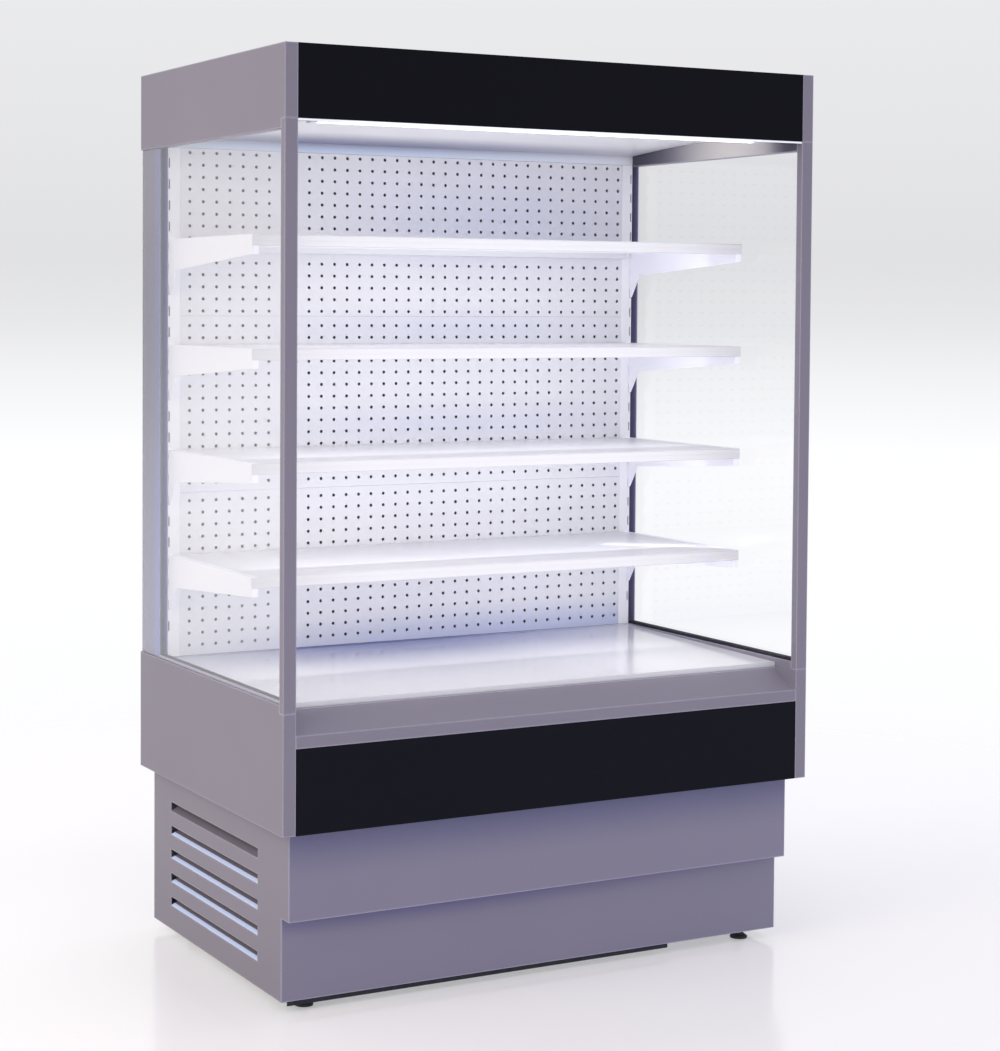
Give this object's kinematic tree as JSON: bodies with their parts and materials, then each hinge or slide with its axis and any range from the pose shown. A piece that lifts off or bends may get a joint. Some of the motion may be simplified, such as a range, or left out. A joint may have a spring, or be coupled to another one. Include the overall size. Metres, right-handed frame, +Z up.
{
  "type": "open multideck display fridge",
  "caption": "Free-standing open-front chilled display cabinet with glazed end walls, hooked shelves on slotted uprights, an air curtain and a louvred base.",
  "frame": {"origin": "on the floor, under the middle of the overall box", "axes": "+X to the right when facing the open front, +Y from the open front to the back, +Z up; the open front faces -Y"},
  "size_m": [1.31, 0.795, 1.98],
  "materials": {
    "grey_paint": "warm grey powder coat, fine texture, half matt",
    "black_gloss": "black high-gloss coat",
    "white_paint": "white powder coat, half gloss",
    "zinc_sheet": "zinc-coated sheet, dull",
    "foam_skin": "smooth skin over hard foam",
    "clear_glass": "clear safety glass, polished edges",
    "seal_rubber": "black rubber, matt",
    "black_plastic": "moulded black plastic",
    "lamp_diffuser": "frosted white, lit from inside",
    "coil_metal": "bare aluminium fins",
    "black_enamel": "black enamel, half matt"
  },
  "bodies": {
    "cabinet": {"air_outlet_comb": "black_plastic", "base_frame": "zinc_sheet", "canopy_fascia": "black_gloss", "ceiling_panel": "white_paint", "compressor": "black_enamel", "condenser": "coil_metal", "control_box": "black_plastic", "evaporator_coil": "coil_metal", "evaporator_fan_plate": "zinc_sheet", "front_sill": "grey_paint", "insulated_back": "grey_paint", "insulated_floor": "foam_skin", "insulated_roof": "foam_skin", "lamp_batten": "white_paint", "led_tube": "lamp_diffuser", "left_base_cover": "grey_paint", "left_front_post": "grey_paint", "left_glass_seal": "seal_rubber", "left_lower_end_panel": "grey_paint", "left_side_glass": "clear_glass", "left_slotted_upright": "white_paint", "left_upper_end_panel": "grey_paint", "lower_back_panel": "white_paint", "lower_front_panel": "black_gloss", "lower_kick_panel": "grey_paint", "middle_back_panel": "white_paint", "rear_base_grille": "grey_paint", "right_base_cover": "grey_paint", "right_front_post": "grey_paint", "right_glass_seal": "seal_rubber", "right_lower_end_panel": "grey_paint", "right_side_glass": "clear_glass", "right_slotted_upright": "white_paint", "right_upper_end_panel": "grey_paint", "upper_back_panel": "white_paint", "upper_kick_panel": "grey_paint"},
    "deck": {"deck_pan": "white_paint"},
    "shelf_1_brackets": {"left_bracket_1": "white_paint", "right_bracket_1": "white_paint"},
    "shelf_1_tray": {"shelf_tray_1": "white_paint"},
    "shelf_2_brackets": {"left_bracket_2": "white_paint", "right_bracket_2": "white_paint"},
    "shelf_2_tray": {"shelf_tray_2": "white_paint"},
    "shelf_3_brackets": {"left_bracket_3": "white_paint", "right_bracket_3": "white_paint"},
    "shelf_3_tray": {"shelf_tray_3": "white_paint"},
    "shelf_4_brackets": {"left_bracket_4": "white_paint", "right_bracket_4": "white_paint"},
    "shelf_4_tray": {"shelf_tray_4": "white_paint"},
    "front_left_foot_pad": {"foot_pad_front_left": "black_plastic"},
    "front_left_foot_stem": {"foot_stem_front_left": "zinc_sheet"},
    "front_right_foot_pad": {"foot_pad_front_right": "black_plastic"},
    "front_right_foot_stem": {"foot_stem_front_right": "zinc_sheet"},
    "rear_left_foot_pad": {"foot_pad_rear_left": "black_plastic"},
    "rear_left_foot_stem": {"foot_stem_rear_left": "zinc_sheet"},
    "rear_right_foot_pad": {"foot_pad_rear_right": "black_plastic"},
    "rear_right_foot_stem": {"foot_stem_rear_right": "zinc_sheet"},
    "left_evaporator_fan": {"left_evaporator_fan": "black_plastic"},
    "right_evaporator_fan": {"right_evaporator_fan": "black_plastic"},
    "condenser_fan": {"condenser_fan": "black_plastic"}
  },
  "joints": [
    {"name": "deck_lift", "type": "slide", "parent": "cabinet", "child": "deck", "axis": [0, 0, 1], "range_m": [0, 0.1]},
    {"name": "shelf_1_unhook", "type": "slide", "parent": "cabinet", "child": "shelf_1_brackets", "axis": [0, 0, 1], "range_m": [0, 0.011]},
    {"name": "shelf_1_tray_lift", "type": "slide", "parent": "shelf_1_brackets", "child": "shelf_1_tray", "axis": [0, 0, 1], "range_m": [0, 0.05]},
    {"name": "shelf_2_unhook", "type": "slide", "parent": "cabinet", "child": "shelf_2_brackets", "axis": [0, 0, 1], "range_m": [0, 0.011]},
    {"name": "shelf_2_tray_lift", "type": "slide", "parent": "shelf_2_brackets", "child": "shelf_2_tray", "axis": [0, 0, 1], "range_m": [0, 0.05]},
    {"name": "shelf_3_unhook", "type": "slide", "parent": "cabinet", "child": "shelf_3_brackets", "axis": [0, 0, 1], "range_m": [0, 0.011]},
    {"name": "shelf_3_tray_lift", "type": "slide", "parent": "shelf_3_brackets", "child": "shelf_3_tray", "axis": [0, 0, 1], "range_m": [0, 0.05]},
    {"name": "shelf_4_unhook", "type": "slide", "parent": "cabinet", "child": "shelf_4_brackets", "axis": [0, 0, 1], "range_m": [0, 0.011]},
    {"name": "shelf_4_tray_lift", "type": "slide", "parent": "shelf_4_brackets", "child": "shelf_4_tray", "axis": [0, 0, 1], "range_m": [0, 0.05]},
    {"name": "front_left_foot_level", "type": "slide", "parent": "cabinet", "child": "front_left_foot_pad", "axis": [0, 0, 1], "range_m": [-0.015, 0.004]},
    {"name": "front_left_foot_screw", "type": "hinge", "parent": "front_left_foot_pad", "child": "front_left_foot_stem", "pos_m": [-0.555, -0.2875, 0], "axis": [0, 0, 1], "range_deg": [-3600, 960]},
    {"name": "front_right_foot_level", "type": "slide", "parent": "cabinet", "child": "front_right_foot_pad", "axis": [0, 0, 1], "range_m": [-0.015, 0.004]},
    {"name": "front_right_foot_screw", "type": "hinge", "parent": "front_right_foot_pad", "child": "front_right_foot_stem", "pos_m": [0.555, -0.2875, 0], "axis": [0, 0, 1], "range_deg": [-3600, 960]},
    {"name": "rear_left_foot_level", "type": "slide", "parent": "cabinet", "child": "rear_left_foot_pad", "axis": [0, 0, 1], "range_m": [-0.015, 0.004]},
    {"name": "rear_left_foot_screw", "type": "hinge", "parent": "rear_left_foot_pad", "child": "rear_left_foot_stem", "pos_m": [-0.555, 0.3225, 0], "axis": [0, 0, 1], "range_deg": [-3600, 960]},
    {"name": "rear_right_foot_level", "type": "slide", "parent": "cabinet", "child": "rear_right_foot_pad", "axis": [0, 0, 1], "range_m": [-0.015, 0.004]},
    {"name": "rear_right_foot_screw", "type": "hinge", "parent": "rear_right_foot_pad", "child": "rear_right_foot_stem", "pos_m": [0.555, 0.3225, 0], "axis": [0, 0, 1], "range_deg": [-3600, 960]},
    {"name": "left_evaporator_fan_spin", "type": "hinge", "parent": "cabinet", "child": "left_evaporator_fan", "pos_m": [-0.29, -0.0765, 0.54], "axis": [0, 1, 0], "continuous": true},
    {"name": "right_evaporator_fan_spin", "type": "hinge", "parent": "cabinet", "child": "right_evaporator_fan", "pos_m": [0.29, -0.0765, 0.54], "axis": [0, 1, 0], "continuous": true},
    {"name": "condenser_fan_spin", "type": "hinge", "parent": "cabinet", "child": "condenser_fan", "pos_m": [-0.456, -0.0375, 0.1653], "axis": [1, 0, 0], "continuous": true}
  ],
  "couplings": [
    {"joint": "front_left_foot_screw", "follows": "front_left_foot_level", "rad_per_m": 4188.8},
    {"joint": "front_right_foot_screw", "follows": "front_right_foot_level", "rad_per_m": 4188.8},
    {"joint": "rear_left_foot_screw", "follows": "rear_left_foot_level", "rad_per_m": 4188.8},
    {"joint": "rear_right_foot_screw", "follows": "rear_right_foot_level", "rad_per_m": 4188.8}
  ]
}
